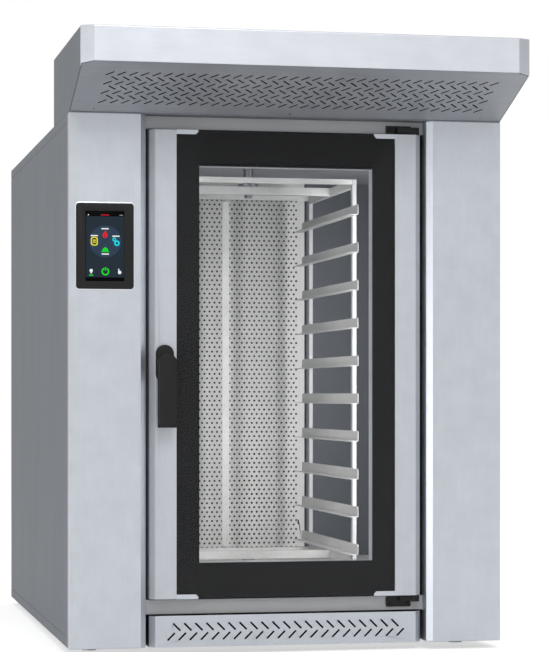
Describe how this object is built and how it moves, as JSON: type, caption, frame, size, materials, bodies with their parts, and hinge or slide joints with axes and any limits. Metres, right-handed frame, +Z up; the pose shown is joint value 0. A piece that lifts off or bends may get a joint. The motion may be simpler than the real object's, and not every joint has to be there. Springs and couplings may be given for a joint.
{
  "type": "rotating rack oven",
  "caption": "Rack oven with a glazed swing door, a turning tray rack, a touch screen and an extraction hood that reaches out over the door.",
  "frame": {"origin": "on the surface under the feet, at the middle of the whole oven's width and depth", "axes": "+X to the right seen from the front, +Y from the door to the back, +Z up"},
  "size_m": [1, 1.673, 1.4154],
  "materials": {
    "front_steel": "fine satin stainless steel",
    "fascia_steel": "bright satin stainless steel",
    "side_steel": "brushed stainless steel, vertical grain",
    "inner_steel": "satin stainless steel",
    "cavity_steel": "satin stainless steel, heat tinted",
    "rack_steel": "satin stainless steel",
    "machined_steel": "turned steel",
    "bronze": "sintered bronze",
    "heater": "oxidised alloy sheath",
    "motor_paint": "satin grey enamel",
    "black_plastic": "fine-textured black",
    "black_paint": "satin black coating",
    "screen": "glossy",
    "rubber": "matt black silicone",
    "wool": "mineral wool",
    "clear_glass": "clear toughened glass",
    "lamp_glass": "frosted glass",
    "border_enamel": "black fired enamel on glass",
    "spacer_aluminium": "satin anodised"
  },
  "bodies": {
    "oven_body": {"base_box": "inner_steel", "levelling_feet": "machined_steel", "side_panels": "side_steel", "back_panel": "side_steel", "top_panel": "side_steel", "left_pillar": "front_steel", "right_pillar": "front_steel", "front_bulkhead": "inner_steel", "crossmembers": "inner_steel", "vent_grille": "front_steel", "cavity_floor": "cavity_steel", "cavity_ceiling": "cavity_steel", "cavity_side_walls": "cavity_steel", "cavity_back_wall": "cavity_steel", "diffuser_panel": "cavity_steel", "diffuser_wings": "cavity_steel", "insulation": "wool", "rear_bulkhead": "inner_steel", "door_seal": "rubber", "hinge_brackets": "black_paint", "latch_keeper": "machined_steel", "screws": "machined_steel", "screen_bezel": "black_plastic", "screen_display": "screen", "screen_console": "black_plastic", "hood_shell": "side_steel", "hood_fascia": "fascia_steel", "hood_intake_panel": "inner_steel", "extractor_motor": "motor_paint", "steam_vent": "machined_steel", "rack_gearmotor": "motor_paint", "drive_cover": "side_steel", "rack_bush": "bronze", "floor_pivot": "machined_steel", "fan_motors": "motor_paint", "heating_elements": "heater", "cavity_lamps": "lamp_glass", "rear_fittings": "machined_steel"},
    "door": {"left_stile": "front_steel", "right_stile": "front_steel", "door_rails": "inner_steel", "outer_glass": "clear_glass", "glass_border": "border_enamel", "window_spacer": "spacer_aluminium", "inner_glass": "clear_glass", "door_liner": "cavity_steel", "glass_clips": "front_steel", "handle_plate": "black_plastic"},
    "handle": {"handle_lever": "black_plastic", "handle_spindle": "machined_steel"},
    "rack": {"rack_shaft": "machined_steel", "rack_posts": "rack_steel", "rack_top_frame": "rack_steel", "rack_bottom_frame": "rack_steel", "tray_rails": "rack_steel", "tray_stop": "rack_steel"},
    "upper_fan": {"upper_fan_wheel": "machined_steel"},
    "lower_fan": {"lower_fan_wheel": "machined_steel"},
    "extractor": {"extractor_wheel": "machined_steel"},
    "damper": {"vent_damper": "machined_steel"}
  },
  "joints": [
    {"name": "door_swing", "type": "hinge", "parent": "oven_body", "child": "door", "pos_m": [0.305, -0.5725, 0.618], "axis": [0, 0, 1], "range_deg": [0, 110]},
    {"name": "handle_turn", "type": "hinge", "parent": "door", "child": "handle", "pos_m": [-0.282, -0.6035, 0.656], "axis": [0, -1, 0], "range_deg": [0, 90]},
    {"name": "rack_spin", "type": "hinge", "parent": "oven_body", "child": "rack", "pos_m": [0, -0.1215, 0.618], "axis": [0, 0, 1], "continuous": true},
    {"name": "upper_fan_spin", "type": "hinge", "parent": "oven_body", "child": "upper_fan", "pos_m": [0, 0.3465, 0.9019], "axis": [0, 1, 0], "continuous": true},
    {"name": "lower_fan_spin", "type": "hinge", "parent": "oven_body", "child": "lower_fan", "pos_m": [0, 0.3465, 0.4053], "axis": [0, 1, 0], "continuous": true},
    {"name": "extractor_spin", "type": "hinge", "parent": "oven_body", "child": "extractor", "pos_m": [0, -0.4535, 1.2962], "axis": [0, 0, 1], "continuous": true},
    {"name": "damper_turn", "type": "hinge", "parent": "oven_body", "child": "damper", "pos_m": [0.3, -0.4035, 1.2582], "axis": [1, 0, 0], "range_deg": [0, 90]}
  ]
}
